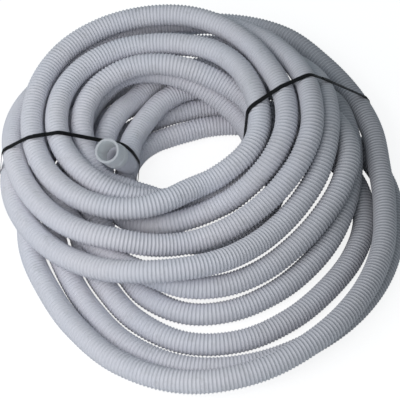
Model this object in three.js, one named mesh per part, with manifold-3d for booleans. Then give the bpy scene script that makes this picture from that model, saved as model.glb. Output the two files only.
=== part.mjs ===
// A long ribbed vacuum hose, coiled by hand into a flat pile and held by two strapping ties.
// Millimetres, +Z up. The pile stands on its flattened underside: z = 0 is the ground, and the
// origin is the centre of the pile's outline on the ground. -Y is the side that the eye sees first.
import * as THREE from 'three';
import { mergeVertices } from 'three/addons/utils/BufferGeometryUtils.js';
import Module from 'manifold-3d';

const wasm = await Module();
wasm.setup();

// ---------------------------------------------------------------- driving dimensions
// hose
const hoseDiameter = 38;
const boreDiameter = 32;
const ribPitch = 5.9;
const ribHeight = 2;
const ribCrestShare = 0.5;
const ribsAtStart = 19;
const ribsAtEnd = 19;
const ribsPlainLead = 0.5;
// the pile
const stepsPerTurn = 24;
const seatsPerTurn = 8;
const sectionSides = 6;
const ribSides = 8;
const leastGap = 2.1;
const settlingRounds = 260;
const footDepth = hoseDiameter / 10;
const leastWallUnderBore = 1.2;
const poleX = -23.6;
const poleY = 34.1;
const straightEnd = 38;
const freeStraightEnd = 48;
// The buried end starts here, straight and level, and heads for the first seat.
const buriedEndAzimuth = 74;
const buriedEndDistance = 281;
// visible end: a plain cuff
const cuffLength = 44;
const cuffMouthDiameter = 39.5;
const cuffBoreDiameter = 33;
const cuffRootDiameter = 41;
const cuffRootLength = 14;
const cuffLipWidth = 3;
const cuffLipHeight = 0.8;
// buried end: a cuff that swivels
const sleeveDiameter = 44;
const sleeveLength = 56;
const sleeveWall = 5.5;
const sleeveThroatWall = 3.2;
const swivelClearance = 0.5;
const collarStep = 1;
const collarLength = 16;
const neckLength = 14;
const neckLipHeight = 1.4;
const neckLipLength = 4;
const jointGap = 0.3;
// ties
const tieWidth = 8;
const tieThickness = 0.8;
const tieGap = 0.6;
const tieLapLength = 20;
const leftTieAzimuth = 180;
const rightTieAzimuth = 26;
const leftLapPlace = 0.30;
const rightLapPlace = 0.36;
const tieShoulder = 12;
const tieSlope = 18;
const tieSamples = 12;
const turnedSides = 32;
const settlingPace = 1.2;
const heldSteps = 1;
// Steps of the hose next to a straight end, which that end doesn't push away.
const sleeveNearSteps = 3;
const buriedNearSteps = 4;
const freeNearSteps = 6;
// Under the end ribs the bore has one ring for this many ribs.
const boreRingEvery = 5;
const gapSamplesPerStep = 5;

// ---------------------------------------------------------------- derived sizes
const hoseRadius = hoseDiameter / 2;
const restHeight = hoseRadius - footDepth;
const facetedBore = Math.min(boreDiameter / 2, restHeight - leastWallUnderBore);
const tieRise = hoseRadius + tieGap + tieThickness + jointGap - restHeight;
const contactDistance = hoseDiameter + leastGap;
const sleeveBoreDiameter = sleeveDiameter - 2 * sleeveWall;
const neckDiameter = sleeveDiameter - 2 * (sleeveThroatWall + swivelClearance);
const neckLipDiameter = neckDiameter + 2 * neckLipHeight;
const collarDiameter = sleeveDiameter - 2 * collarStep;
const sleeveRestHeight = sleeveDiameter / 2 + swivelClearance;
const stepAngle = 2 * Math.PI / stepsPerTurn;
const stepsPerSeat = stepsPerTurn / seatsPerTurn;
const beyondPile = 8 * buriedEndDistance;
const radians = (degrees) => degrees * Math.PI / 180;

// ---------------------------------------------------------------- where the hose lies
// One row a turn, counter-clockwise seen from above, in millimetres. Each pair is the distance
// from the pile's pole and the height of the hose's centre where the turn passes
// left (180), 225, front (270), 315, right (0), 45, back (90) and 135 degrees.
const turns = [
  [null, null, null, null, null, null, [256, 17], [243, 15]],
  [[246, 21], [290, 17], [405, 30], [380, 51], [313, 57], [330, 48], [343.5, 44], [281, 23]],
  [[283.5, 46], [270, 63], [238, 80], [206, 74], [231, 114], [262, 99], [266, 74], [302, 55]],
  [[278, 86], [236, 84], [175, 72], [166, 93], [205, 144], [242, 137], [283, 114], [283, 93]],
  [[239, 70], [215, 48], [246, 46], [238, 52], [262, 93], [236, 72], [218, 61], [156, 74]],
  [[139, 66], [150, 42], [112, 57], [115, 86], [164, 144], [194, 150], [257, 152], [281, 130]],
  [[239, 111], [170, 101], [87, 95], [82, 101], [113, 122], [149, 138], [195, 142], [232, 128]],
  [[201, 115], [120, 78], [66, 58], [76, 61], [110, 82], [150, 97], [156, 127], [195, 114]],
  [[166, 101], [92, 50], [51, 17], [74, 21], [112, 42], [139, 57], [163, 88], [198, 75]],
  [[168, 61], [193, 20], [268, 15], [265, 23], [264, 55], [258, 17], [209, 15], [198, 15]],
  [[200, 21], [256, 15], [375, 15], [377, 16], [322, 16], [224, 15], [167, 15], [150, 15]],
  [[166, 21], [219, 15], [331, 15], [316, 15], [290, 15], [181, 15], [116, 15], [106, 15]],
  [[101, 21], [98, 15], [128, 15], [140, 17], [152, 30], [180, 55], [180, 52], [118, 61]],
  [[97, 68], null, null, null, null, null, null, null],
];
// The free end leaves the last seat straight, leaning out over the pile.
const cuffLean = new THREE.Vector3(-0.31, -0.46, 0.83).normalize();

// Rise of the lowest turns over a strap that passes under them.
function rise(azimuth) {
  let most = 0;
  for (const tie of [leftTieAzimuth, rightTieAzimuth]) {
    const turned = ((azimuth - tie) % 360 + 540) % 360 - 180;
    const away = (Math.abs(turned) - tieShoulder) / tieSlope;
    most = Math.max(most, Math.min(1, Math.max(0, 1 - away)));
  }
  return tieRise * most;
}

// Smooth pass through four values, at u between the two in the middle.
function pass(a, b, c, d, u) {
  const straight = 2 * b + (c - a) * u;
  const bend = (2 * a - 5 * b + 4 * c - d) * u * u;
  const twist = (3 * b - a - 3 * c + d) * u * u * u;
  return (straight + bend + twist) / 2;
}

// The turns, step by step round the pole: distance, height and azimuth at each step.
function layTurns() {
  const seats = turns.flat();
  const first = seats.findIndex((seat) => seat);
  const rows = seats.filter((seat) => seat);
  const at = (k) => rows[Math.min(rows.length - 1, Math.max(0, k))];
  const steps = [];
  for (let k = 0; k <= (rows.length - 1) * stepsPerSeat; k += 1) {
    const seat = Math.min(rows.length - 2, Math.floor(k / stepsPerSeat));
    const u = k / stepsPerSeat - seat;
    const near = [at(seat - 1), at(seat), at(seat + 1), at(seat + 2)];
    const angle = Math.PI + (first * stepsPerSeat + k) * stepAngle;
    steps.push({
      distance: pass(near[0][0], near[1][0], near[2][0], near[3][0], u),
      height: pass(near[0][1], near[1][1], near[2][1], near[3][1], u),
      angle,
      cos: Math.cos(angle),
      sin: Math.sin(angle),
    });
  }
  return steps;
}

function place(step, target = new THREE.Vector3()) {
  const x = poleX + step.distance * step.cos;
  const y = poleY + step.distance * step.sin;
  return target.set(x, y, step.height);
}

// Nearest points of the stretches a-b and c-d, each as a share of its stretch.
function nearest(a, b, c, d) {
  const p = [b.x - a.x, b.y - a.y, b.z - a.z];
  const q = [d.x - c.x, d.y - c.y, d.z - c.z];
  const r = [a.x - c.x, a.y - c.y, a.z - c.z];
  const dot = (v, w) => v[0] * w[0] + v[1] * w[1] + v[2] * w[2];
  const clamp = (value) => Math.min(1, Math.max(0, value));
  const [pp, qq, pq, pr, qr] = [dot(p, p), dot(q, q), dot(p, q), dot(p, r), dot(q, r)];
  const spread = pp * qq - pq * pq;
  let u = spread > 1e-6 * pp * qq ? clamp((pq * qr - pr * qq) / spread) : 0.5;
  const v = clamp((pq * u + qr) / qq);
  u = clamp((pq * v - pr) / pp);
  return [u, v];
}

// Turns that lie too near each other push apart, half each, and none sinks into the ground.
function settle(steps, fixed) {
  const n = steps.length;
  const points = steps.map((step) => place(step));
  const gap = new THREE.Vector3();
  const foot = new THREE.Vector3();
  for (let round = 0; round < settlingRounds; round += 1) {
    const out = new Float64Array(n);
    const up = new Float64Array(n);
    const hits = new Float64Array(n);
    const push = (i, share, weight) => {
      out[i] += weight * share * (gap.x * steps[i].cos + gap.y * steps[i].sin);
      up[i] += weight * share * gap.z;
      hits[i] += Math.abs(weight);
    };
    for (let i = 0; i < n - 1; i += 1) {
      for (let j = i + stepsPerTurn / 2; j < n - 1; j += 1) {
        const turned = (j - i) % stepsPerTurn;
        if (turned > 2 && turned < stepsPerTurn - 2) continue;
        const [u, v] = nearest(points[i], points[i + 1], points[j], points[j + 1]);
        gap.lerpVectors(points[i], points[i + 1], u);
        foot.lerpVectors(points[j], points[j + 1], v);
        gap.sub(foot);
        const length = Math.max(gap.length(), 1e-6);
        if (length >= contactDistance) continue;
        gap.multiplyScalar(1 / length);
        const share = (contactDistance - length) / 2;
        push(i, share, 1 - u);
        push(i + 1, share, u);
        push(j, share, v - 1);
        push(j + 1, share, -v);
      }
      for (const piece of fixed) {
        if (i < piece.from || i > piece.to) continue;
        const [u, v] = nearest(points[i], points[i + 1], piece.a, piece.b);
        gap.lerpVectors(points[i], points[i + 1], u);
        foot.lerpVectors(piece.a, piece.b, v);
        gap.sub(foot);
        const length = Math.max(gap.length(), 1e-6);
        const wanted = piece.radius + hoseRadius + leastGap;
        if (length >= wanted) continue;
        gap.multiplyScalar(1 / length);
        push(i, wanted - length, 1 - u);
        push(i + 1, wanted - length, u);
      }
    }
    const shove = (values, k) => {
      const near = Math.min(n - 1, Math.max(0, k));
      return values[near] / Math.max(1, Math.sqrt(hits[near]));
    };
    const ease = (values, i) => {
      const beside = shove(values, i - 1) + shove(values, i + 1);
      const beyond = shove(values, i - 2) + shove(values, i + 2);
      return settlingPace * (0.48 * shove(values, i) + 0.21 * beside + 0.05 * beyond);
    };
    for (let i = heldSteps; i < n - heldSteps; i += 1) {
      const ground = restHeight + rise(steps[i].angle * 180 / Math.PI);
      steps[i].distance += ease(out, i);
      steps[i].height = Math.max(ground, steps[i].height + ease(up, i));
      place(steps[i], points[i]);
    }
  }
  return points;
}

// ---------------------------------------------------------------- the two ends
function buriedEnd(firstSeat) {
  const angle = radians(buriedEndAzimuth);
  const x = poleX + buriedEndDistance * Math.cos(angle);
  const y = poleY + buriedEndDistance * Math.sin(angle);
  const start = new THREE.Vector3(x, y, sleeveRestHeight);
  const heading = new THREE.Vector3(firstSeat.x - x, firstSeat.y - y, 0).normalize();
  return { start, heading };
}

const laid = layTurns();
const buried = buriedEnd(place(laid[0]));
const buriedStraight = buried.start.clone().addScaledVector(buried.heading, straightEnd);
const buriedMouth = buried.start.clone();
buriedMouth.addScaledVector(buried.heading, -(jointGap + collarLength + swivelClearance + sleeveLength));
const freeStraight = place(laid[laid.length - 1]);
const freeStart = freeStraight.clone().addScaledVector(cuffLean, freeStraightEnd);
const cuffRoot = freeStart.clone().addScaledVector(cuffLean, jointGap);
const cuffMouth = cuffRoot.clone().addScaledVector(cuffLean, cuffLength);
const lastStep = laid.length - 1;
const lastPushed = lastStep - freeNearSteps;
const fixedPieces = [
  { a: buried.start, b: buriedMouth, radius: sleeveDiameter / 2, from: sleeveNearSteps, to: lastStep },
  { a: buriedStraight, b: buried.start, radius: hoseRadius, from: buriedNearSteps, to: lastStep },
  { a: freeStraight, b: freeStart, radius: hoseRadius, from: 0, to: lastPushed },
  { a: cuffRoot, b: cuffMouth, radius: cuffRootDiameter / 2, from: 0, to: lastPushed },
];
const settled = settle(laid, fixedPieces);
const route = [buried.start, buriedStraight, ...settled, freeStart];

// ---------------------------------------------------------------- rings along the route
// Distance along the route at each of its points.
const reach = [0];
for (let k = 1; k < route.length; k += 1) {
  reach.push(reach[k - 1] + route[k].distanceTo(route[k - 1]));
}
const hoseLength = reach[reach.length - 1];
const plainStart = (ribsAtStart + 2) * ribPitch;
const plainEnd = hoseLength - (ribsAtEnd + 1) * ribPitch;

function headingAt(k) {
  const before = route[Math.max(0, k - 1)];
  const after = route[Math.min(route.length - 1, k + 1)];
  return after.clone().sub(before).normalize();
}
const headings = route.map((point, k) => headingAt(k));
headings[0] = buried.heading.clone();
headings[1] = buried.heading.clone();
headings[route.length - 1] = cuffLean.clone();
headings[route.length - 2] = cuffLean.clone();

// Point and heading at a distance along the route, smooth through its points.
function along(distance) {
  let k = 0;
  while (k < route.length - 2 && reach[k + 1] < distance) k += 1;
  const span = reach[k + 1] - reach[k];
  const u = (distance - reach[k]) / span;
  const a = route[k];
  const b = route[k + 1];
  const point = new THREE.Vector3();
  const w = [2 * u ** 3 - 3 * u ** 2 + 1, u ** 3 - 2 * u ** 2 + u, 3 * u ** 2 - 2 * u ** 3, u ** 3 - u ** 2];
  point.addScaledVector(a, w[0]).addScaledVector(headings[k], w[1] * span);
  point.addScaledVector(b, w[2]).addScaledVector(headings[k + 1], w[3] * span);
  const heading = headings[k].clone().lerp(headings[k + 1], u).normalize();
  return { point, heading };
}

// A ring of points square to the heading, one of them straight below.
function ring({ point, heading }, radius, sides) {
  const side = new THREE.Vector3(0, 0, 1).cross(heading).normalize();
  const up = heading.clone().cross(side);
  const points = [];
  for (let k = 0; k < sides; k += 1) {
    const angle = -Math.PI / 2 + 2 * Math.PI * k / sides;
    const corner = point.clone();
    corner.addScaledVector(side, -radius * Math.cos(angle));
    corner.addScaledVector(up, radius * Math.sin(angle));
    points.push(corner);
  }
  return points;
}

// Corners of the hose's outside at a distance along it, as its surface really runs there.
function skinAt(distance, sides) {
  const ribbed = distance < plainStart || distance > plainEnd;
  if (ribbed) return ring(along(distance), hoseRadius, sides);
  let k = 0;
  while (k < route.length - 2 && reach[k + 1] < distance) k += 1;
  const u = (distance - reach[k]) / (reach[k + 1] - reach[k]);
  const near = ring({ point: route[k], heading: headings[k] }, hoseRadius, sides);
  const far = ring({ point: route[k + 1], heading: headings[k + 1] }, hoseRadius, sides);
  return near.map((corner, m) => corner.lerp(far[m], u));
}

// Joins two rings that may have different numbers of points.
function zip(triangles, a, b, flip) {
  let i = 0;
  let j = 0;
  while (i < a.length || j < b.length) {
    const nextA = (i + 1) / a.length;
    const nextB = (j + 1) / b.length;
    const here = a[i % a.length];
    const there = b[j % b.length];
    if (i < a.length && (j >= b.length || nextA <= nextB + 1e-9)) {
      const next = a[(i + 1) % a.length];
      triangles.push(flip ? [here, there, next] : [here, next, there]);
      i += 1;
    } else {
      const next = b[(j + 1) % b.length];
      triangles.push(flip ? [here, there, next] : [here, next, there]);
      j += 1;
    }
  }
}

function geometryFrom(triangles) {
  const values = new Float32Array(triangles.length * 9);
  triangles.flat().forEach((corner, k) => values.set([corner.x, corner.y, corner.z], 3 * k));
  const geometry = new THREE.BufferGeometry();
  geometry.setAttribute('position', new THREE.BufferAttribute(values, 3));
  geometry.computeVertexNormals();
  return geometry;
}

function toSolid(geometry) {
  const bare = geometry.clone();
  bare.deleteAttribute('normal');
  bare.deleteAttribute('uv');
  const merged = mergeVertices(bare, 1e-4);
  const vertProperties = new Float32Array(merged.getAttribute('position').array);
  const triVerts = new Uint32Array(merged.getIndex().array);
  return new wasm.Manifold(new wasm.Mesh({ numProp: 3, vertProperties, triVerts }));
}

function fromSolid(solid) {
  const mesh = solid.getMesh();
  const geometry = new THREE.BufferGeometry();
  geometry.setAttribute('position', new THREE.BufferAttribute(new Float32Array(mesh.vertProperties), 3));
  geometry.setIndex(new THREE.BufferAttribute(new Uint32Array(mesh.triVerts), 1));
  geometry.computeVertexNormals();
  return geometry;
}

// ---------------------------------------------------------------- the hose
// Its ends show their ribs, two rings a rib; between them a plain tube follows the turns.
function hoseRings() {
  const outer = [];
  const inner = [];
  const addRib = (distance) => {
    const half = ribPitch * (1 - ribCrestShare) / 2;
    outer.push(ring(along(distance - half), hoseRadius, ribSides));
    outer.push(ring(along(distance + half), hoseRadius - ribHeight, ribSides));
  };
  const endRibs = hoseLength - ribsAtEnd * ribPitch;
  outer.push(ring(along(0), hoseRadius, ribSides));
  inner.push(ring(along(0), facetedBore, ribSides));
  for (let k = 0; k < ribsAtStart; k += 1) {
    addRib((k + ribsPlainLead) * ribPitch + ribPitch / 2);
    const ringed = k % boreRingEvery === boreRingEvery - 1;
    if (ringed) inner.push(ring(along((k + 1) * ribPitch), facetedBore, ribSides));
  }
  for (let k = 0; k < route.length; k += 1) {
    const clear = reach[k] > plainStart && reach[k] < plainEnd;
    if (clear) {
      const station = { point: route[k], heading: headings[k] };
      outer.push(ring(station, hoseRadius, sectionSides));
      inner.push(ring(station, facetedBore, sectionSides));
    }
  }
  for (let k = 0; k < ribsAtEnd; k += 1) {
    addRib(endRibs + (k - ribsPlainLead) * ribPitch + ribPitch / 2);
    const ringed = k % boreRingEvery === 1;
    if (ringed) inner.push(ring(along(endRibs + k * ribPitch), facetedBore, ribSides));
  }
  outer.push(ring(along(hoseLength), hoseRadius, ribSides));
  inner.push(ring(along(hoseLength), facetedBore, ribSides));
  return { outer, inner };
}

function tubeGeometry() {
  const { outer, inner } = hoseRings();
  const triangles = [];
  for (let k = 1; k < outer.length; k += 1) zip(triangles, outer[k - 1], outer[k], true);
  for (let k = 1; k < inner.length; k += 1) zip(triangles, inner[k - 1], inner[k], false);
  zip(triangles, outer[0], inner[0], false);
  zip(triangles, outer[outer.length - 1], inner[inner.length - 1], true);
  return geometryFrom(triangles);
}

function groundBlock() {
  const size = beyondPile;
  const block = new THREE.BoxGeometry(size, size, size);
  block.translate(0, 0, -size / 2);
  return toSolid(block);
}

// Least distance between two turns' surfaces, measured between short stretches of the centre line.
// Stretches nearer than three diameters along the hose are the same bend and aren't compared.
function leastSelfGap() {
  let least = Infinity;
  const spacing = hoseLength / (route.length * gapSamplesPerStep);
  const samples = [];
  for (let s = 0; s < hoseLength; s += spacing) samples.push(along(s).point);
  const apart = Math.ceil(3 * hoseDiameter / spacing);
  const gap = new THREE.Vector3();
  const foot = new THREE.Vector3();
  for (let i = 0; i < samples.length - 1; i += 1) {
    for (let j = i + apart; j < samples.length - 1; j += 1) {
      const rough = Math.abs(samples[i].x - samples[j].x) + Math.abs(samples[i].y - samples[j].y);
      if (rough > 2 * hoseDiameter) continue;
      const [u, v] = nearest(samples[i], samples[i + 1], samples[j], samples[j + 1]);
      gap.lerpVectors(samples[i], samples[i + 1], u);
      foot.lerpVectors(samples[j], samples[j + 1], v);
      least = Math.min(least, gap.distanceTo(foot) - hoseDiameter);
    }
  }
  return least;
}

function makeHose() {
  const solid = toSolid(tubeGeometry()).subtract(groundBlock());
  const material = new THREE.MeshStandardMaterial({ color: 0xc9ccd4, roughness: 0.42, metalness: 0 });
  const mesh = new THREE.Mesh(fromSolid(solid), material);
  mesh.name = 'hose';
  mesh.userData.route = route.map((point) => point.toArray());
  return mesh;
}

// ---------------------------------------------------------------- turned pieces
function turned(profile, name, material) {
  const points = profile.map(([radius, height]) => new THREE.Vector2(radius, height));
  points.push(points[0].clone());
  const mesh = new THREE.Mesh(new THREE.LatheGeometry(points, turnedSides), material);
  mesh.name = name;
  return mesh;
}

function stand(mesh, foot, direction) {
  mesh.position.copy(foot);
  mesh.quaternion.setFromUnitVectors(new THREE.Vector3(0, 1, 0), direction);
  return mesh;
}

const cuffMaterial = () => new THREE.MeshStandardMaterial({ color: 0xe4e5e8, roughness: 0.35, metalness: 0 });

function makeEndCuff() {
  const bore = cuffBoreDiameter / 2;
  const mouth = cuffMouthDiameter / 2;
  const root = cuffRootDiameter / 2;
  const profile = [
    [bore, 0],
    [root, 0],
    [root, cuffRootLength],
    [mouth, cuffRootLength + (root - mouth) * 2],
    [mouth, cuffLength - cuffLipWidth - cuffLipHeight],
    [mouth + cuffLipHeight, cuffLength - cuffLipWidth],
    [mouth + cuffLipHeight, cuffLength],
    [bore, cuffLength],
  ];
  return stand(turned(profile, 'end_cuff', cuffMaterial()), cuffRoot, cuffLean);
}

function makeCollar() {
  const bore = sleeveBoreDiameter / 2;
  const neck = neckDiameter / 2;
  const lip = neckLipDiameter / 2;
  const profile = [
    [bore, 0],
    [collarDiameter / 2, 0],
    [collarDiameter / 2, collarLength],
    [neck, collarLength],
    [neck, collarLength + neckLength - neckLipLength],
    [lip, collarLength + neckLength - neckLipLength],
    [lip, collarLength + neckLength - neckLipLength / 2],
    [neck, collarLength + neckLength],
    [bore, collarLength + neckLength],
  ];
  const foot = buried.start.clone().addScaledVector(buried.heading, -jointGap);
  return stand(turned(profile, 'swivel_collar', cuffMaterial()), foot, buried.heading.clone().negate());
}

function makeSleeve() {
  const bore = sleeveBoreDiameter / 2;
  const outside = sleeveDiameter / 2;
  const throat = neckDiameter / 2 + swivelClearance;
  const groove = neckLipDiameter / 2 + swivelClearance;
  const grooveStart = neckLength - neckLipLength - 2 * swivelClearance;
  const grooveEnd = neckLength;
  const profile = [
    [throat, 0],
    [outside, 0],
    [outside, sleeveLength],
    [bore, sleeveLength],
    [bore, grooveEnd],
    [groove, grooveEnd],
    [groove, grooveStart],
    [throat, grooveStart],
  ];
  const foot = buried.start.clone();
  foot.addScaledVector(buried.heading, -(jointGap + collarLength + swivelClearance));
  return stand(turned(profile, 'swivel_sleeve', cuffMaterial()), foot, buried.heading.clone().negate());
}

// ---------------------------------------------------------------- ties
function hull(points) {
  const sorted = [...points].sort((a, b) => a[0] - b[0] || a[1] - b[1]);
  const half = (list) => {
    const chain = [];
    for (const p of list) {
      while (chain.length > 1) {
        const [q, r] = [chain[chain.length - 2], chain[chain.length - 1]];
        const turn = (r[0] - q[0]) * (p[1] - q[1]) - (r[1] - q[1]) * (p[0] - q[0]);
        if (turn > 1e-6) break;
        chain.pop();
      }
      chain.push(p);
    }
    chain.pop();
    return chain;
  };
  return [...half(sorted), ...half(sorted.reverse())];
}

// The pile's outline where a vertical strip of the tie's width through the pole cuts it.
function outlineAt(azimuth) {
  const angle = radians(azimuth);
  const out = new THREE.Vector3(Math.cos(angle), Math.sin(angle), 0);
  const across = new THREE.Vector3(-Math.sin(angle), Math.cos(angle), 0);
  const pole = new THREE.Vector3(poleX, poleY, 0);
  const points = [];
  for (let s = 0; s <= hoseLength; s += tieWidth / 4) {
    const arm = along(s).point.sub(pole);
    const near = Math.abs(arm.dot(across)) < hoseDiameter && arm.dot(out) > 0;
    if (!near) continue;
    for (const corner of skinAt(s, tieSamples)) {
      const offset = corner.sub(pole);
      if (Math.abs(offset.dot(across)) <= tieWidth / 2 + tieGap) {
        points.push([offset.dot(out), offset.z]);
      }
    }
  }
  return hull(points);
}

function grown(outline, by) {
  const points = [];
  for (const [x, y] of outline) {
    for (let k = 0; k < tieSamples; k += 1) {
      const angle = 2 * Math.PI * k / tieSamples;
      points.push([x + by * Math.cos(angle), y + by * Math.sin(angle)]);
    }
  }
  return thinned(hull(points));
}

// Leaves out corners that stand closer together than the strap can show.
function thinned(outline) {
  const kept = [];
  for (const p of outline) {
    const last = kept[kept.length - 1];
    if (!last || Math.hypot(p[0] - last[0], p[1] - last[1]) > tieWidth / 2) kept.push(p);
  }
  return kept;
}

function slab(outline, azimuth, depth) {
  const shape = new THREE.Shape(outline.map(([x, y]) => new THREE.Vector2(x, y)));
  const geometry = new THREE.ExtrudeGeometry(shape, { depth, bevelEnabled: false });
  geometry.translate(0, 0, -depth / 2);
  geometry.rotateX(Math.PI / 2);
  geometry.rotateZ(radians(azimuth));
  geometry.translate(poleX, poleY, 0);
  return toSolid(geometry);
}

// A welded band round the pile, twice as thick where its ends lap.
function makeTie(name, azimuth, lapPlace) {
  const outline = outlineAt(azimuth);
  const inside = slab(grown(outline, tieGap), azimuth, 3 * tieWidth);
  const band = slab(grown(outline, tieGap + tieThickness), azimuth, tieWidth);
  const thick = slab(grown(outline, tieGap + 2 * tieThickness), azimuth, tieWidth);
  const angle = radians(azimuth);
  const xs = outline.map((p) => p[0]);
  const lapX = Math.max(...xs) + (Math.min(...xs) - Math.max(...xs)) * lapPlace;
  const window = new THREE.BoxGeometry(tieLapLength, 2 * tieWidth, beyondPile);
  window.translate(lapX, 0, beyondPile / 2 + hoseDiameter);
  window.rotateZ(angle);
  window.translate(poleX, poleY, 0);
  const lap = thick.intersect(toSolid(window));
  const solid = band.add(lap).subtract(inside);
  const material = new THREE.MeshStandardMaterial({ color: 0x0b0b0c, roughness: 0.5, metalness: 0 });
  const mesh = new THREE.Mesh(fromSolid(solid), material);
  mesh.name = name;
  return mesh;
}

// ---------------------------------------------------------------- the object
const object = new THREE.Group();
object.name = 'vacuum_hose';
object.add(makeHose());
object.add(makeEndCuff());
object.add(makeCollar());
object.add(makeSleeve());
object.add(makeTie('tie_strap_left', leftTieAzimuth, leftLapPlace));
object.add(makeTie('tie_strap_right', rightTieAzimuth, rightLapPlace));
console.log('hose length', (hoseLength / 1000).toFixed(3), 'm; least gap between turns',
  leastSelfGap().toFixed(2), 'mm');
export default object;
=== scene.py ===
# %% A coiled vacuum hose
import math
import bpy
import numpy as np
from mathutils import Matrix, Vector


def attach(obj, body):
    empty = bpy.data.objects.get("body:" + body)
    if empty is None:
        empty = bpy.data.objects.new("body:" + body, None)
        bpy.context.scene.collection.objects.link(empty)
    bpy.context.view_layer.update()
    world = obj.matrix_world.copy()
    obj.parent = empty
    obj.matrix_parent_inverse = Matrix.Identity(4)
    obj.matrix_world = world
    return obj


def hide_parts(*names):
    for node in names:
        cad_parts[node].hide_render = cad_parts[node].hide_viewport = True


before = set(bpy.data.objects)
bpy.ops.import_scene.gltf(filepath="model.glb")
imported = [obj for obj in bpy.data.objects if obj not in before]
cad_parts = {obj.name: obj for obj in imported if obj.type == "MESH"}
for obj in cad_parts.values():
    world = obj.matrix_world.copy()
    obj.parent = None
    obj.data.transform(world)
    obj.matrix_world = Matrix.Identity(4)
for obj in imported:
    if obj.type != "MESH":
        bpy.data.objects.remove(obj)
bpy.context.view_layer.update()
print("nodes of the frame:", sorted(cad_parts))

# %% [markdown]
# The object is nearly seventeen metres of ribbed plastic hose, coiled by hand into a flat, untidy pile
# and held by two strapping ties. Everything that the eye reads comes from one line, the hose's centre
# line, so this lesson first works that line out, in metres, and then grows surfaces on it. Two things
# come before it: the camera, because each later choice is judged through it, and the light.

# %% The camera
# The photograph looks down on the pile at about fifty degrees from some three metres away. Its focal
# length, and how far the pile's centre lies below the middle of the picture, are given in its pixels.
pile_centre = Vector((-0.0008, -0.0799, 0.057))
camera_distance = 3.04
camera_elevation = math.radians(50.0)
photo_side_pixels = 400.0
focal_pixels = 1896.0
centre_drop_pixels = 20.47
sensor_millimetres = 36.0


def looking_down(angle):
    """The direction away from the camera, that angle below level: (0, cos angle, -sin angle)."""
    return Vector((0, math.cos(angle), -math.sin(angle)))


camera_data = bpy.data.cameras.new("photo_camera")
camera_data.sensor_width = sensor_millimetres
camera_data.lens = sensor_millimetres * focal_pixels / photo_side_pixels
camera = bpy.data.objects.new("photo_camera", camera_data)
bpy.context.scene.collection.objects.link(camera)
camera_tilt = math.atan(centre_drop_pixels / focal_pixels)
camera.location = pile_centre - camera_distance * looking_down(camera_elevation)
camera.rotation_euler = looking_down(camera_elevation - camera_tilt).to_track_quat("-Z", "Y").to_euler()
bpy.context.scene.camera = camera
bpy.context.scene.view_settings.view_transform = "Standard"
print("lens", round(camera_data.lens, 1), "mm at", [round(v, 3) for v in camera.location])

# %% [markdown]
# Shader maths is easier to read as sums than as links. A wire wraps one socket, sums of wires add Math
# nodes, and one method adds any other node: its settings first, then what goes into its sockets.


# %% Wires for the shaders
class Wire:
    """One output of a shader tree, so that a * b + c builds the Math nodes for it."""

    def __init__(self, tree, socket=None):
        self.tree = tree
        self.socket = socket

    def node(self, kind, settings=None, links=None, out=0):
        """Adds a node, applies its settings, then fills its sockets with wires or values."""
        made = self.tree.nodes.new(kind)
        for name, value in (settings or {}).items():
            setattr(made, name, value)
        for name, value in (links or {}).items():
            if isinstance(value, Wire):
                self.tree.links.new(value.socket, made.inputs[name])
            else:
                made.inputs[name].default_value = value
        return Wire(self.tree, made.outputs[out] if len(made.outputs) else None)

    def maths(self, operation, *values):
        """One Math node: operation(values)."""
        return self.node("ShaderNodeMath", {"operation": operation}, dict(enumerate(values)))

    def __add__(self, other): return self.maths("ADD", self, other)
    def __radd__(self, other): return self.maths("ADD", other, self)
    def __sub__(self, other): return self.maths("SUBTRACT", self, other)
    def __mul__(self, other): return self.maths("MULTIPLY", self, other)

    def wave(self):
        """A wave between 0 and 1: sin(value) / 2 + 1/2."""
        return self.maths("SINE", self) * 0.5 + 0.5

    def span(self, low, high, start=0.0, end=1.0):
        """The value stretched so that low..high becomes start..end, held at both."""
        return self.node("ShaderNodeMapRange", None, {
            "Value": self, "From Min": low, "From Max": high, "To Min": start, "To Max": end})

    def between(self, first, second):
        """A colour between two colours: first where the wire is 0, second where it is 1."""
        return self.node("ShaderNodeMix", {"data_type": "RGBA"}, {0: self, 6: first, 7: second}, out=2)

    def seen_directly(self):
        """1 for what the camera sees directly, 0 for light that bounces."""
        return self.node("ShaderNodeLightPath")

    def place(self):
        """The place on the object, in metres."""
        return self.node("ShaderNodeTexCoord", out=3)

    def carried(self, name):
        """A number that the mesh carries at each vertex."""
        return self.node("ShaderNodeAttribute", {"attribute_name": name}, out=2)

    def noise(self, scale, detail, **more):
        """Noise at this wire's place, about 0.5, with that many patches a metre."""
        links = {"Vector": self, "Scale": scale, "Detail": detail, **more}
        return self.node("ShaderNodeTexNoise", None, links)

    def bump(self, strength, distance):
        """A normal tilted by the value, as a height that reaches up to that distance."""
        links = {"Strength": strength, "Distance": distance, "Height": self}
        return self.node("ShaderNodeBump", None, links)


def new_material(name):
    """An empty material with its output, and a loose wire to start from."""
    material = bpy.data.materials.new(name)
    material.use_nodes = True
    material.node_tree.nodes.clear()
    return material, Wire(material.node_tree)


def finish_material(wire, shader):
    """Sends the last shader to the material's output."""
    wire.node("ShaderNodeOutputMaterial", None, {"Surface": shader})


print("wires ready")

# %% [markdown]
# The light is a tent with one bright side: soft from all round, strongest from the upper left and weak
# from the right. One broad lamp over the left shoulder draws the crests, and one beside the camera looks
# into the gaps, so that none goes black. The floor is nearly white and keeps the pile's soft shadow.

# %% The light and the floor
white = (1, 1, 1, 1)
tent_colour = (0.84, 0.945, 1.0, 1)
bright_side = (-0.80, -0.25, 0.55)
facing_reach = 0.9
dim_strength, bright_strength = 0.08, 0.50

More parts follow.
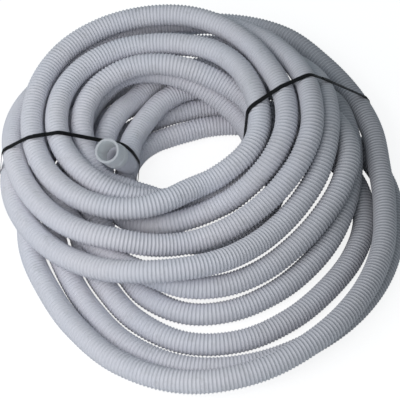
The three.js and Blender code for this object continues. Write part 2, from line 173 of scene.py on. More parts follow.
world = bpy.data.worlds.new("tent")
world.use_nodes = True
bpy.context.scene.world = world
world.node_tree.nodes.clear()
wire = Wire(world.node_tree)
towards = wire.node("ShaderNodeTexCoord", out=0)
dot_product = {"operation": "DOT_PRODUCT"}
facing = wire.node("ShaderNodeVectorMath", dot_product, {0: towards, 1: bright_side}, out=1)
strength = facing.span(-facing_reach, facing_reach, dim_strength, bright_strength)
tent = wire.node("ShaderNodeBackground", None, {"Color": tent_colour, "Strength": strength})
backdrop = wire.node("ShaderNodeBackground", None, {"Color": white, "Strength": 1.0})
shown = wire.node("ShaderNodeMixShader", None, {0: wire.seen_directly(), 1: tent, 2: backdrop})
wire.node("ShaderNodeOutputWorld", None, {"Surface": shown})


def soft_lamp(name, place, power, size, colour):
    """A square area lamp of that size that faces the pile's centre."""
    data = bpy.data.lights.new(name, "AREA")
    data.energy = power
    data.size = size
    data.color = colour
    lamp = bpy.data.objects.new(name, data)
    lamp.location = place
    lamp.rotation_euler = (pile_centre - Vector(place)).to_track_quat("-Z", "Y").to_euler()
    bpy.context.scene.collection.objects.link(lamp)


soft_lamp("key_lamp", place=(-1.3, -0.9, 1.5), power=9, size=1.3, colour=(1.0, 0.96, 0.96))
soft_lamp("front_lamp", place=(-0.6, -1.65, 1.9), power=11, size=0.9, colour=(1.0, 0.96, 0.965))

floor_half = 12.0
floor_drop = 0.0004
floor_paper = (0.8, 0.82, 0.84, 1)
floor_shaded = (0.35, 0.35, 0.35, 1)
floor_glow = 0.84
floor_mesh = bpy.data.meshes.new("studio_floor")
floor_mesh.from_pydata([(-floor_half, -floor_half, 0), (floor_half, -floor_half, 0),
                        (floor_half, floor_half, 0), (-floor_half, floor_half, 0)], [], [(0, 1, 2, 3)])
floor = bpy.data.objects.new("studio_floor", floor_mesh)
floor.location.z = -floor_drop
bpy.context.scene.collection.objects.link(floor)
floor_material, wire = new_material("studio_white")
paper = wire.node("ShaderNodeBsdfDiffuse", None, {"Color": floor_paper})
shaded = wire.node("ShaderNodeBsdfDiffuse", None, {"Color": floor_shaded})
glow = wire.node("ShaderNodeEmission", None, {"Color": white, "Strength": floor_glow})
pale = wire.node("ShaderNodeAddShader", None, {0: shaded, 1: glow})
finish_material(wire, wire.node("ShaderNodeMixShader", None, {0: wire.seen_directly(), 1: paper, 2: pale}))
floor_mesh.materials.append(floor_material)
print("tent, lamps and floor are up")

# %% [markdown]
# On the real object somebody walked the hose round and round on the ground, so each turn lies where the
# turns under it let it lie. The line is made the same way: a short table of seats says where each turn
# passes eight places round the pile, a smooth curve joins the seats, and then turns that came too close
# push each other apart, sideways and upward, until none overlaps.

# %% Where the hose lies
hose_radius = 0.019
rest_height = 0.0152
contact_distance = 0.0401
pole = np.array([-0.0236, 0.0341])
steps_per_turn = 24
steps_per_seat = 3
parallel_share = 1e-6
# One row a turn, counter-clockwise from the left, in millimetres: distance from the pole and height.
turns = [
    [None, None, None, None, None, None, (256, 17), (243, 15)],
    [(246, 21), (290, 17), (405, 30), (380, 51), (313, 57), (330, 48), (343.5, 44), (281, 23)],
    [(283.5, 46), (270, 63), (238, 80), (206, 74), (231, 114), (262, 99), (266, 74), (302, 55)],
    [(278, 86), (236, 84), (175, 72), (166, 93), (205, 144), (242, 137), (283, 114), (283, 93)],
    [(239, 70), (215, 48), (246, 46), (238, 52), (262, 93), (236, 72), (218, 61), (156, 74)],
    [(139, 66), (150, 42), (112, 57), (115, 86), (164, 144), (194, 150), (257, 152), (281, 130)],
    [(239, 111), (170, 101), (87, 95), (82, 101), (113, 122), (149, 138), (195, 142), (232, 128)],
    [(201, 115), (120, 78), (66, 58), (76, 61), (110, 82), (150, 97), (156, 127), (195, 114)],
    [(166, 101), (92, 50), (51, 17), (74, 21), (112, 42), (139, 57), (163, 88), (198, 75)],
    [(168, 61), (193, 20), (268, 15), (265, 23), (264, 55), (258, 17), (209, 15), (198, 15)],
    [(200, 21), (256, 15), (375, 15), (377, 16), (322, 16), (224, 15), (167, 15), (150, 15)],
    [(166, 21), (219, 15), (331, 15), (316, 15), (290, 15), (181, 15), (116, 15), (106, 15)],
    [(101, 21), (98, 15), (128, 15), (140, 17), (152, 30), (180, 55), (180, 52), (118, 61)],
    [(97, 68), None, None, None, None, None, None, None],
]
seats = [seat for row in turns for seat in row]
first_seat = next(k for k, seat in enumerate(seats) if seat)
rows = np.array([seat for seat in seats if seat], float) / 1000


def lay_turns():
    """Distance, height and azimuth at each step.

    Between seats b and c, with neighbours a and d and u running from 0 to 1:
    (2b + (c - a)u + (2a - 5b + 4c - d)u^2 + (3b - a - 3c + d)u^3) / 2.
    """
    k = np.arange((len(rows) - 1) * steps_per_seat + 1)
    seat = np.minimum(len(rows) - 2, k // steps_per_seat)
    u = (k / steps_per_seat - seat)[:, None]
    a, b, c, d = (rows[np.clip(seat + shift, 0, len(rows) - 1)] for shift in (-1, 0, 1, 2))
    bend = (2 * a - 5 * b + 4 * c - d) * u ** 2
    twist = (3 * b - a - 3 * c + d) * u ** 3
    laid = (2 * b + (c - a) * u + bend + twist) / 2
    turned = math.pi + (first_seat * steps_per_seat + k) * 2 * math.pi / steps_per_turn
    return laid[:, 0], laid[:, 1], turned


def nearest(a, b, c, d):
    """Shares u and v along a-b and c-d of the two points that are nearest to each other.

    Setting both derivatives of |a + u(b-a) - c - v(d-c)| to zero gives two linear equations; their
    answers are held between 0 and 1 in turn.
    """
    p, q, r = b - a, d - c, a - c
    pp, qq, pq = (p * p).sum(1), (q * q).sum(1), (p * q).sum(1)
    pr, qr = (p * r).sum(1), (q * r).sum(1)
    spread = pp * qq - pq * pq
    square = spread > parallel_share * pp * qq
    u = np.where(square, np.clip((pq * qr - pr * qq) / np.where(square, spread, 1), 0, 1), 0.5)
    v = np.clip((pq * u + qr) / qq, 0, 1)
    return np.clip((pq * v - pr) / pp, 0, 1), v


distance, height, azimuth = lay_turns()
outward = np.stack([np.cos(azimuth), np.sin(azimuth)], 1)
step_count = len(distance)


def on_the_pile():
    """Each step as a point: pole + distance * (cos, sin), height."""
    return np.column_stack([pole + distance[:, None] * outward, height])


print(len(rows), "seats,", step_count, "steps")

# %% [markdown]
# Both ends of the hose are stiff: each is pushed onto a cuff and leaves it straight. The buried end lies
# on the ground at the back, and its cuff turns freely on the hose. The free end stands up out of the
# pile at the left and shows its open mouth.

# %% The two stiff ends
buried_azimuth = math.radians(74)
buried_distance = 0.281
sleeve_rest_height = 0.0225
cuff_lean = np.array([-0.31, -0.46, 0.83])
cuff_lean = cuff_lean / np.linalg.norm(cuff_lean)
straight_end = 0.038
free_straight_end = 0.048
joint_gap = 0.0003
cuff_length = 0.044
cuff_root_radius = 0.0205
collar_length = 0.016
swivel_clearance = 0.0005
sleeve_length = 0.056
sleeve_radius = 0.022
# Steps of the hose next to a straight end, which that end doesn't push away.
sleeve_near_steps = 3
buried_near_steps = 4
free_near_steps = 6

steps = on_the_pile()
buried_way = np.array([math.cos(buried_azimuth), math.sin(buried_azimuth)])
buried_start = np.array([*(pole + buried_distance * buried_way), sleeve_rest_height])
buried_heading = np.array([*(steps[0, :2] - buried_start[:2]), 0])
buried_heading = buried_heading / np.linalg.norm(buried_heading)
buried_straight = buried_start + straight_end * buried_heading
sleeve_foot = buried_start - (joint_gap + collar_length + swivel_clearance) * buried_heading
buried_mouth = buried_start - (joint_gap + collar_length + swivel_clearance + sleeve_length) * buried_heading
free_straight = steps[-1]
free_start = free_straight + free_straight_end * cuff_lean
cuff_root = free_start + joint_gap * cuff_lean
cuff_mouth = cuff_root + cuff_length * cuff_lean
last_step = step_count - 1
last_pushed = last_step - free_near_steps
# Start, end and radius of each straight end, and the first and last step that it pushes.
stiff = [
    (buried_start, buried_mouth, sleeve_radius, sleeve_near_steps, last_step),
    (buried_straight, buried_start, hose_radius, buried_near_steps, last_step),
    (free_straight, free_start, hose_radius, 0, last_pushed),
    (cuff_root, cuff_mouth, cuff_root_radius, 0, last_pushed),
]
print("buried end at", buried_start.round(3), "free end at", free_start.round(3))

# %% [markdown]
# Settling is the slow part on the real pile and a quick one here, because all pairs of strands that
# could touch are gathered once. In each round a pair that is too close shares the missing distance
# evenly, the pushes are eased along the hose so that it never kinks, and the ground stops the lowest.

# %% Settling
settling_rounds = 260
settling_pace = 1.2
ease_own, ease_beside, ease_beyond = 0.48, 0.21, 0.05
least_length = 1e-9
# Two strands are compared where their azimuths are no more than this many steps apart.
paired_steps = 2
left_tie_azimuth, right_tie_azimuth = 180.0, 26.0
# The hose rises over a strap under the pile: fully within the shoulder, less and less over the slope,
# both in degrees. The room is for the gap under the strap, the strap and the gap over it.
tie_shoulder, tie_slope = 12, 18
strap_room = 0.0017
tie_rise = hose_radius + strap_room - rest_height


def ground_under():
    """Least height of each step: rest height + rise * share, 1 over a strap and 0 away from both."""
    ties = (left_tie_azimuth, right_tie_azimuth)
    away = [((np.degrees(azimuth) - tie) % 360 + 540) % 360 - 180 for tie in ties]
    shares = [np.clip(1 - (np.abs(turned) - tie_shoulder) / tie_slope, 0, 1) for turned in away]
    return rest_height + tie_rise * np.max(shares, axis=0)


def shortest(a, b, c, d):
    """The way from c-d to a-b between their nearest points, its length, and both points' shares."""
    u, v = nearest(a, b, c, d)
    way = a + u[:, None] * (b - a) - c - v[:, None] * (d - c)
    return way, np.maximum(np.linalg.norm(way, axis=1), least_length), u, v


def push(pushes, which, way, share, weight):
    """Adds weight * share * way to those steps' outward and upward rows, and |weight| to the hits."""
    side = (way[:, :2] * outward[which]).sum(1)
    np.add.at(pushes[0], which, weight * share * side)
    np.add.at(pushes[1], which, weight * share * way[:, 2])
    np.add.at(pushes[2], which, np.abs(weight))


def eased(pushed, hits):
    """pace * (0.48 own + 0.21 both neighbours + 0.05 both next ones) of push / sqrt(hits).

    The two ends of the line don't move.
    """
    own = np.pad(pushed / np.maximum(1, np.sqrt(hits)), 2, mode="edge")
    near = ease_own * own[2:-2] + ease_beside * (own[1:-3] + own[3:-1]) + ease_beyond * (own[:-4] + own[4:])
    near[0] = near[-1] = 0
    return settling_pace * near


def settle():
    """Runs the rounds. A push is (contact - gap) / 2 each way along the line between nearest points.

    Two strands can only touch half a turn or more apart, and only where their azimuths are close.
    """
    i, j = np.meshgrid(np.arange(last_step), np.arange(last_step), indexing="ij")
    apart = (j - i) % steps_per_turn
    beside = (apart <= paired_steps) | (apart >= steps_per_turn - paired_steps)
    pairs = (j >= i + steps_per_turn // 2) & beside
    i, j = i[pairs], j[pairs]
    ground = ground_under()
    spine = on_the_pile()
    for _ in range(settling_rounds):
        pushes = np.zeros((3, step_count))
        way, gap, u, v = shortest(spine[i], spine[i + 1], spine[j], spine[j + 1])
        close = gap < contact_distance
        way, u, v = way[close] / gap[close, None], u[close], v[close]
        share = (contact_distance - gap[close]) / 2
        for which, weight in ((i[close], 1 - u), (i[close] + 1, u), (j[close], v - 1), (j[close] + 1, -v)):
            push(pushes, which, way, share, weight)
        for start, end, radius, low, high in stiff:
            k = np.arange(low, min(high, step_count - 2) + 1)
            begin, finish = np.broadcast_to(start, (len(k), 3)), np.broadcast_to(end, (len(k), 3))
            way, gap, u, v = shortest(spine[k], spine[k + 1], begin, finish)
            wanted = radius + contact_distance - hose_radius
            close = gap < wanted
            way, share = way[close] / gap[close, None], wanted - gap[close]
            push(pushes, k[close], way, share, 1 - u[close])
            push(pushes, k[close] + 1, way, share, u[close])
        distance[:] = distance + eased(pushes[0], pushes[2])
        height[1:-1] = np.maximum(ground[1:-1], (height + eased(pushes[1], pushes[2]))[1:-1])
        spine = on_the_pile()
    return spine


route = np.vstack([buried_start, buried_straight, settle(), free_start])
reach = np.concatenate([[0], np.cumsum(np.linalg.norm(np.diff(route, axis=0), axis=1))])
hose_length = reach[-1]
headings = np.vstack([route[1] - route[0], route[2:] - route[:-2], route[-1] - route[-2]])
headings[:2] = buried_heading
headings[-2:] = cuff_lean
headings = headings / np.linalg.norm(headings, axis=1)[:, None]
print("hose", round(hose_length, 3), "m in", len(route), "steps; highest", round(route[:, 2].max(), 3), "m")


# %% [markdown]
# A surface on the line needs a point, a side and an up at any distance along it. The side stays level,
# so that the rings never roll and one row of points always lies underneath. Where the hose rests on the
# ground its lower half is pressed a little flat, down to z = 0.

# %% Rings on the line
def along(s):
    """Points and unit headings at distances s: cubic Hermite pieces with span-long end headings."""
    k = np.clip(np.searchsorted(reach, s, side="left") - 1, 0, len(route) - 2)
    span = reach[k + 1] - reach[k]
    u = ((s - reach[k]) / span)[:, None]
    w = [2 * u ** 3 - 3 * u ** 2 + 1, u ** 3 - 2 * u ** 2 + u, 3 * u ** 2 - 2 * u ** 3, u ** 3 - u ** 2]
    tangent = span[:, None]
    points = (route[k] * w[0] + headings[k] * w[1] * tangent
              + route[k + 1] * w[2] + headings[k + 1] * w[3] * tangent)
    heading = headings[k] * (1 - u) + headings[k + 1] * u
    return points, heading / np.linalg.norm(heading, axis=1)[:, None]


def rings(s, radius, sides):
    """Grid of points, one ring at each distance s: centre - side r cos + up r sin, from straight below.

    The lower half's r sin is scaled by min(1, height / hose radius), so no ring goes under the ground.
    """
    points, heading = along(s)
    side = np.cross((0, 0, 1), heading)
    side = side / np.linalg.norm(side, axis=1)[:, None]
    up = np.cross(heading, side)
    angle = -math.pi / 2 + 2 * math.pi * np.arange(sides) / sides
    lower = np.minimum(1, points[:, 2] / hose_radius)[:, None]
    tall = np.where(np.sin(angle) < 0, lower, 1.0) * np.sin(angle)
    radius = np.broadcast_to(radius, s.shape)[:, None]
    return (points[:, None] - side[:, None] * (radius * np.cos(angle))[..., None]
            + up[:, None] * (radius * tall)[..., None])


def grid_faces(count, sides, wrapped=False):
    """Quads of count rows that close round their sides: (k, m), (k, m+1), (k+1, m+1), (k+1, m).

    Wrapped, the last row also joins the first.
    """
    k, m = np.meshgrid(np.arange(count if wrapped else count - 1), np.arange(sides), indexing="ij")
    l, n = (k + 1) % count, (m + 1) % sides
    return np.stack([k * sides + m, k * sides + n, l * sides + n, l * sides + m], -1).reshape(-1, 4)


def make_object(name, vertices, quads, values):
    """A smooth-shaded mesh object from whole arrays, with the numbers that its vertices carry."""
    mesh = bpy.data.meshes.new(name)
    mesh.vertices.add(len(vertices))
    mesh.vertices.foreach_set("co", np.asarray(vertices, np.float32).ravel())
    mesh.loops.add(quads.size)
    mesh.loops.foreach_set("vertex_index", quads.ravel().astype(np.int32))
    mesh.polygons.add(len(quads))
    mesh.polygons.foreach_set("loop_start", np.arange(0, quads.size, 4, dtype=np.int32))
    mesh.polygons.foreach_set("use_smooth", np.ones(len(quads), bool))
    for label, numbers in values.items():
        carried = mesh.attributes.new(label, "FLOAT", "POINT")
        carried.data.foreach_set("value", np.asarray(numbers, np.float32).ravel())
    mesh.update(calc_edges=True)
    mesh.validate()
    made = bpy.data.objects.new(name, mesh)
    bpy.context.scene.collection.objects.link(made)
    return made


print("a ring half way along stands round", along(reach[-1:] / 2)[0][0].round(3))

# %% [markdown]
# The wall of such a hose is blown against a corrugated mould: narrow round crests, wider flat grooves.
# Each rib gets six rings: the crest's top and two shoulders, and the groove's two corners and floor.
# The bore is a plain tube. The hose is cut into six lengths, in the middle of a groove, only to keep
# each mesh small; together they are one unbroken hose from cuff to cuff.

# %% The ribbed hose
rib_pitch = 0.0059
rib_height = 0.0017
bore_radius = 0.016
hose_sides = 28
ribs_per_bore_ring = 4
length_count = 6
# Place in the rib and depth below the crest: corner, shoulder, crest, shoulder, corner, groove.
rib_places = np.array([0.14, 0.28, 0.42, 0.56, 0.70, 0.92])
rib_depths = np.array([0.86, 0.26, 0.00, 0.26, 0.86, 1.00])
# The bore has no ribs and takes the colour of a place part way down a groove.
bore_depth = 0.6
ribs_each = round(hose_length / rib_pitch / length_count / ribs_per_bore_ring) * ribs_per_bore_ring
rib_count = ribs_each * length_count
laid_pitch = hose_length / rib_count


def make_hose_length(name, first_rib, last_rib):
    """A length of hose from rib to rib: radius = hose radius - rib height * depth(place in the rib).

    The bore is a plain tube inside it, and a flat ring joins the two at each end.
    """
    ribs = np.arange(first_rib, last_rib)
    ends = np.array([first_rib, last_rib]) * laid_pitch
    s = np.concatenate([ends[:1], (ribs[:, None] + rib_places).ravel() * laid_pitch, ends[1:]])
    depth = np.concatenate([[1.0], np.tile(rib_depths, len(ribs)), [1.0]])
    t = np.linspace(ends[0], ends[1], len(ribs) // ribs_per_bore_ring + 1)
    shell = rings(s, hose_radius - rib_height * depth, hose_sides).reshape(-1, 3)
    bore = rings(t, bore_radius, hose_sides).reshape(-1, 3)
    m = np.arange(hose_sides)
    n = (m + 1) % hose_sides
    far_shell, far_bore = len(shell) - hose_sides, len(shell) + len(bore) - hose_sides
    quads = np.vstack([
        grid_faces(len(s), hose_sides),
        len(shell) + grid_faces(len(t), hose_sides)[:, ::-1],
        np.stack([len(shell) + m, len(shell) + n, n, m], 1),
        np.stack([far_shell + m, far_shell + n, far_bore + n, far_bore + m], 1),
    ])
    values = {
        "groove": np.concatenate([np.repeat(depth, hose_sides), np.full(len(bore), bore_depth)]),
        "reach": np.concatenate([np.repeat(s, hose_sides), np.repeat(t, hose_sides)]),
    }
    return make_object(name, np.vstack([shell, bore]), quads, values), along(s)[0]


hose_lengths = []
for k in range(length_count):
    hose_lengths.append(make_hose_length("hose_length_%d" % (k + 1), k * ribs_each, (k + 1) * ribs_each))
for piece, _ in hose_lengths:
    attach(piece, "coil")
    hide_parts("hose")
quad_count = len(hose_lengths[0][0].data.polygons)
print(rib_count, "ribs at", round(laid_pitch * 1000, 3), "mm,", quad_count, "quads a length")

# %% [markdown]
# The cuffs are turned parts: soft plastic sleeves whose edges are all a little round, as moulded edges
# are. A profile of radius and height, with each corner cut into a short arc, is spun round an axis.

# %% The cuffs
turned_sides = 72
cuff_bore = 0.0165
cuff_rounding, swivel_rounding = 0.0009, 0.0006
cuff_barrel_radius, cuff_lip_radius = 0.01975, 0.02055
cuff_root_top, cuff_barrel_foot, cuff_barrel_top, cuff_lip_foot = 0.014, 0.0155, 0.0402, 0.041
collar_radius, neck_radius, neck_lip_radius = 0.021, 0.0183, 0.0197
neck_lip_foot, neck_lip_top, neck_top = 0.026, 0.028, 0.030
sleeve_throat_radius, sleeve_groove_radius = 0.0188, 0.0202
sleeve_groove_foot, sleeve_groove_top = 0.009, 0.014


def rounded(corners, radius, arc=5):
    """The closed profile with each corner replaced by points of the curve (1-u)^2 p + 2u(1-u) c + u^2 q.

    p and q lie on the corner's two sides, radius away from it or a third of the side if that is less.
    """
    c = np.array(corners, float)
    before, after = np.roll(c, 1, axis=0) - c, np.roll(c, -1, axis=0) - c
    far = np.linalg.norm(before, axis=1)[:, None], np.linalg.norm(after, axis=1)[:, None]
    p = c + before / far[0] * np.minimum(radius, far[0] / 3)
    q = c + after / far[1] * np.minimum(radius, far[1] / 3)
    u = np.linspace(0, 1, arc)[None, :, None]
    return ((1 - u) ** 2 * p[:, None] + 2 * u * (1 - u) * c[:, None] + u ** 2 * q[:, None]).reshape(-1, 2)


def spun(name, corners, radius, foot, axis):
    """A turned piece: foot + height * axis + radius * (cos, sin) in the plane square to the axis.

    Its vertices carry mouth, which is 1 on the rim and falls to 0 over the rounding below it.
    """
    profile = rounded(corners, radius)
    axis = np.array(axis, float) / np.linalg.norm(axis)
    side = np.cross(axis, (0.0, 0.0, 1.0))
    side = side / np.linalg.norm(side)
    other = np.cross(axis, side)
    angle = 2 * math.pi * np.arange(turned_sides) / turned_sides
    circle = np.cos(angle)[:, None] * side + np.sin(angle)[:, None] * other
    points = foot + profile[:, None, 1:] * axis + profile[:, None, :1] * circle
    quads = grid_faces(len(profile), turned_sides, wrapped=True)
    mouth = np.clip(1 - (profile[:, 1].max() - profile[:, 1]) / radius, 0, 1)
    return make_object(name, points.reshape(-1, 3), quads, {"mouth": np.repeat(mouth, turned_sides)})


end_cuff = spun("end_cuff_moulded", [
    (cuff_bore, 0), (cuff_root_radius, 0), (cuff_root_radius, cuff_root_top),
    (cuff_barrel_radius, cuff_barrel_foot), (cuff_barrel_radius, cuff_barrel_top),
    (cuff_lip_radius, cuff_lip_foot), (cuff_lip_radius, cuff_length), (cuff_bore, cuff_length),
], cuff_rounding, cuff_root, cuff_lean)
collar = spun("swivel_collar_moulded", [
    (cuff_bore, 0), (collar_radius, 0), (collar_radius, collar_length), (neck_radius, collar_length),
    (neck_radius, neck_lip_foot), (neck_lip_radius, neck_lip_foot), (neck_lip_radius, neck_lip_top),
    (neck_radius, neck_top), (cuff_bore, neck_top),
], swivel_rounding, buried_start - joint_gap * buried_heading, -buried_heading)
sleeve = spun("swivel_sleeve_moulded", [
    (sleeve_throat_radius, 0), (sleeve_radius, 0), (sleeve_radius, sleeve_length),
    (cuff_bore, sleeve_length), (cuff_bore, sleeve_groove_top), (sleeve_groove_radius, sleeve_groove_top),
    (sleeve_groove_radius, sleeve_groove_foot), (sleeve_throat_radius, sleeve_groove_foot),
], swivel_rounding, sleeve_foot, -buried_heading)
for piece, node, body in ((end_cuff, "end_cuff", "coil"), (collar, "swivel_collar", "coil"),
                          (sleeve, "swivel_sleeve", "swivel")):
    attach(piece, body)
    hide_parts(node)
print("cuffs turned:", len(end_cuff.data.polygons), "quads on the free one")

# %% [markdown]
# A strapping tie is pulled tight and welded to itself, so it runs as a rubber band would: straight from
# strand to strand, touching only the outermost. Its line is the outline that a plane through the pole
# cuts out of the pile, found by asking in every direction which point of the hose's skin lies farthest.

# %% The strapping ties
strap_width = 0.008
strap_thickness = 0.0008
strap_lift = 0.0003
strap_rounding = 0.0003
lap_length = 0.020
left_lap_place, right_lap_place = 0.30, 0.36
direction_count, skin_sides = 720, 48
loop_stations, lap_stations = 900, 24
half_width, half_thick = strap_width / 2, strap_thickness / 2
strap_section = rounded([(-half_width, -half_thick), (-half_width, half_thick), (half_width, half_thick),
                         (half_width, -half_thick)], strap_rounding, 3)
upward = np.array([0, 0, 1.0])


def outline(out, across, centre):
    """The skin's farthest point in each direction, as (out, height), and the directions.

    Only skin within the strap's width counts.
    """
    s = np.arange(0, hose_length, strap_width / 4)
    arm = along(s)[0] - centre
    s = s[(np.abs(arm @ across) < 2 * hose_radius) & (arm @ out > 0)]
    skin = rings(s, hose_radius, skin_sides).reshape(-1, 3) - centre
    skin = skin[np.abs(skin @ across) <= half_width]
    flat = np.stack([skin @ out, skin[:, 2]], 1)
    turn = 2 * math.pi * np.arange(direction_count) / direction_count
    ways = np.stack([np.cos(turn), np.sin(turn)], 1)
    return flat[np.argmax(flat @ ways.T, axis=0)], ways


def stations(line, count, start=0.0, end=1.0):
    """Points at even distances from share start to share end of a closed line, and their normals.

    A normal is the unit heading (x, z) turned outward to (z, -x). The distances and the line's whole
    length come with them.
    """
    whole = (start, end) == (0.0, 1.0)
    closed = np.vstack([line, line[:1]])
    run = np.concatenate([[0], np.cumsum(np.linalg.norm(np.diff(closed, axis=0), axis=1))])
    wanted = np.linspace(start, end, count, endpoint=not whole) * run[-1]
    spots = np.stack([np.interp(wanted % run[-1], run, closed[:, axis]) for axis in (0, 1)], 1)
    ahead = np.roll(spots, -1, axis=0) - np.roll(spots, 1, axis=0) if whole else np.gradient(spots, axis=0)
    ahead = ahead / np.linalg.norm(ahead, axis=1)[:, None]
    return spots, np.stack([ahead[:, 1], -ahead[:, 0]], 1), wanted, run[-1]


def swept(spots, normals, out, across, centre, wrapped):
    """Section points at each station: spot + section v * normal + section u * across.

    A band that isn't wrapped gets a cap at each end.
    """
    place = centre + spots[:, :1] * out + spots[:, 1:] * upward
    normal = normals[:, :1] * out + normals[:, 1:] * upward
    u, v = strap_section[None, :, :1], strap_section[None, :, 1:]
    points = place[:, None] + u * across + v * normal[:, None]
    sides = len(strap_section)
    quads = grid_faces(len(spots), sides, wrapped)
    if not wrapped:
        m = np.arange(1, sides // 2)
        caps = np.stack([m - 1, m, sides - 1 - m, sides - m], 1)
        quads = np.vstack([quads, caps[:, ::-1], (len(spots) - 1) * sides + caps])
    return points.reshape(-1, 3), quads


def make_strap(name, azimuth_degrees, lap_place):
    """A flat band round the outline: far point in each direction + (lift + thickness / 2) * direction.

    Where its ends lap, at that share of the way in along the top, a second layer lies on the first.
    """
    angle = math.radians(azimuth_degrees)
    out = np.array([math.cos(angle), math.sin(angle), 0])
    across = np.array([-math.sin(angle), math.cos(angle), 0])
    centre = np.array([pole[0], pole[1], 0])
    farthest, ways = outline(out, across, centre)
    lower_line = farthest + (strap_lift + half_thick) * ways
    upper_line = farthest + (strap_lift + (half_thick + strap_thickness)) * ways
    spots, normals, run_at, around = stations(lower_line, loop_stations)
    lower_points, lower_quads = swept(spots, normals, out, across, centre, wrapped=True)
    lap_out = spots[:, 0].max() + (spots[:, 0].min() - spots[:, 0].max()) * lap_place
    on_top = spots[:, 1] > spots[:, 1].mean()
    middle = run_at[np.argmin(np.where(on_top, np.abs(spots[:, 0] - lap_out), np.inf))] / around
    half_lap = lap_length / around / 2
    spots, normals, lap_at, _ = stations(upper_line, lap_stations, middle - half_lap, middle + half_lap)
    upper_points, upper_quads = swept(spots, normals, out, across, centre, wrapped=False)
    quads = np.vstack([lower_quads, len(lower_points) + upper_quads])
    values = {"reach": np.repeat(np.concatenate([run_at, lap_at]), len(strap_section))}
    return make_object(name, np.vstack([lower_points, upper_points]), quads, values)


left_tie = make_strap("tie_strap_left_woven", left_tie_azimuth, left_lap_place)
right_tie = make_strap("tie_strap_right_woven", right_tie_azimuth, right_lap_place)
for piece, node in ((left_tie, "tie_strap_left"), (right_tie, "tie_strap_right")):
    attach(piece, "coil")
    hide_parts(node)
print("ties laid round the pile:", len(left_tie.data.polygons), "quads each")

# %% [markdown]
# The hose is one kind of milky plastic, but no place on it looks like the next. On the left its grooves
# are painted a little paler than the crests, a painted glow for light that the milky wall lets out.
# Towards the right the crests, and the grooves most, are painted darker: painted shade. The plastic is a
# little cloudy, and a long soft change of tone runs along it. All of it comes from numbers that the mesh
# carries or from the place in space.

# %% What the hose is made of
# Crest and groove colours on the left: the grooves are a little paler than the crests, a painted glow.
unshaded_crests = (0.745, 0.75, 0.815, 1), (0.785, 0.775, 0.825, 1)
unshaded_grooves_painted_paler = (0.765, 0.77, 0.835, 1), (0.805, 0.795, 0.845, 1)
# Painted shade: the darker colours that crests and grooves turn to towards the right.
painted_shade_crest, painted_shade_groove = (0.55, 0.55, 0.58, 1), (0.29, 0.29, 0.32, 1)
stain_colour, speck_colour = (0.45, 0.45, 0.46, 1), (0.84, 0.85, 0.88, 1)
shade_colour = (0.66, 0.71, 0.76, 1)
# The last of these is the share of the painted shade that the grooves take.
stain_anywhere, stain_in_grooves, painted_shade_in_grooves = 0.25, 0.35, 0.9
speck_strength, shade_strength = 0.10, 0.10
# Painted shade begins and is full at these distances to the right, in metres, and its edge wanders this
# much.
painted_shade_begins, painted_shade_full, painted_shade_wander = 0.02, 0.27, 0.12
tone_radians_per_metre = 2.3

hose_material, wire = new_material("hose_plastic")
place = wire.place()
cloud = place.noise(9.0, 3.0, Roughness=0.55)
grain = place.noise(420.0, 4.0, Roughness=0.6)
stain = place.noise(34.0, 5.0, Roughness=0.7)
groove = wire.carried("groove").span(0.15, 0.95)
tone = (wire.carried("reach") * tone_radians_per_metre).wave()
rightward = wire.node("ShaderNodeSeparateXYZ", None, {"Vector": place}, out=0)
# Painted shade mask: 0 on the left, rising to 1 towards the right, with a wandering edge.
painted_shade_mask = (rightward + (cloud - 0.5) * painted_shade_wander).span(painted_shade_begins, painted_shade_full)
cloudy = cloud.span(0.35, 0.65)
crest = painted_shade_mask.between(cloudy.between(*unshaded_crests), painted_shade_crest)
valley = (painted_shade_mask * painted_shade_in_grooves).between(cloudy.between(*unshaded_grooves_painted_paler), painted_shade_groove)
body = groove.between(crest, valley)
stained = stain.span(0.56, 0.74) * (stain_anywhere + groove * stain_in_grooves)
dirty = stained.between(body, stain_colour)
speckled = (grain.span(0.58, 0.70) * speck_strength).between(dirty, speck_colour)
colour = tone.span(0.0, 1.0, 0.0, shade_strength).between(speckled, shade_colour)
roughness = grain.span(0.3, 0.7, 0.36, 0.50) + groove * 0.10
finish_material(wire, wire.node("ShaderNodeBsdfPrincipled", None, {
    "Base Color": colour, "Roughness": roughness, "Normal": grain.bump(0.25, 0.0003), "IOR": 1.5}))
for piece, _ in hose_lengths:
    piece.data.materials.append(hose_material)
print("hose plastic:", len(hose_material.node_tree.nodes), "nodes")
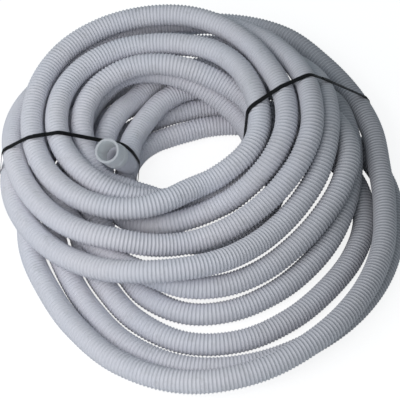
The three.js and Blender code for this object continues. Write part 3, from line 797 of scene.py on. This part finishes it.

# %% [markdown]
# The cuffs are moulded from the same family of plastic without ribs, paler and smoother, with faint
# swirls of flow and a few rubbed marks. The rim of the mouth is coloured the greyest.

# %% What the cuffs are made of
cuff_pales = (0.90, 0.93, 0.95, 1), (0.93, 0.95, 0.96, 1)
rubbed_colour, rim_colour = (0.70, 0.72, 0.74, 1), (0.56, 0.58, 0.61, 1)
rub_strength = 0.3

cuff_material, wire = new_material("cuff_plastic")
place = wire.place()
cloud = place.noise(26.0, 3.0, Distortion=0.6)
grain = place.noise(600.0, 3.0)
rub = place.noise(70.0, 5.0, Roughness=0.75)
pale = cloud.span(0.35, 0.65).between(*cuff_pales)
rubbed = (rub.span(0.58, 0.74) * rub_strength).between(pale, rubbed_colour)
colour = wire.carried("mouth").between(rubbed, rim_colour)
finish_material(wire, wire.node("ShaderNodeBsdfPrincipled", None, {
    "Base Color": colour, "Roughness": rub.span(0.3, 0.7, 0.42, 0.58), "Normal": grain.bump(0.2, 0.0002),
    "IOR": 1.45}))
for piece in (end_cuff, collar, sleeve):
    piece.data.materials.append(cuff_material)
print("cuff plastic:", len(cuff_material.node_tree.nodes), "nodes")

# %% [markdown]
# Strapping tape is black polypropylene, rolled with shallow ridges across it so that it doesn't slip.
# A fine wave along the band makes them, and its black has hardly any shine left.

# %% What the ties are made of
strap_blacks = (0.003, 0.003, 0.004, 1), (0.008, 0.008, 0.009, 1)
ridge_radians_per_metre = 3100.0
grain_on_ridges = 0.4

strap_material, wire = new_material("strap")
place = wire.place()
grain = place.noise(900.0, 3.0)
wear = place.noise(60.0, 4.0)
ridges = (wire.carried("reach") * ridge_radians_per_metre).wave()
black = wear.span(0.4, 0.7).between(*strap_blacks)
finish_material(wire, wire.node("ShaderNodeBsdfPrincipled", None, {
    "Base Color": black, "Roughness": wear.span(0.3, 0.7, 0.42, 0.60),
    "Normal": (ridges + grain * grain_on_ridges).bump(0.5, 0.0002), "Specular IOR Level": 0.22}))
for piece in (left_tie, right_tie):
    piece.data.materials.append(strap_material)
print("strap:", len(strap_material.node_tree.nodes), "nodes")

# %% [markdown]
# Last, the lengths are gone through in turn, and the last of them is noted: the hose, of known length and
# thickness, leaves the buried cuff, runs on from length to length and ends at the free cuff.

# %% The hose's lengths in turn
for k, (piece, path) in enumerate(hose_lengths):
    last = k == length_count - 1
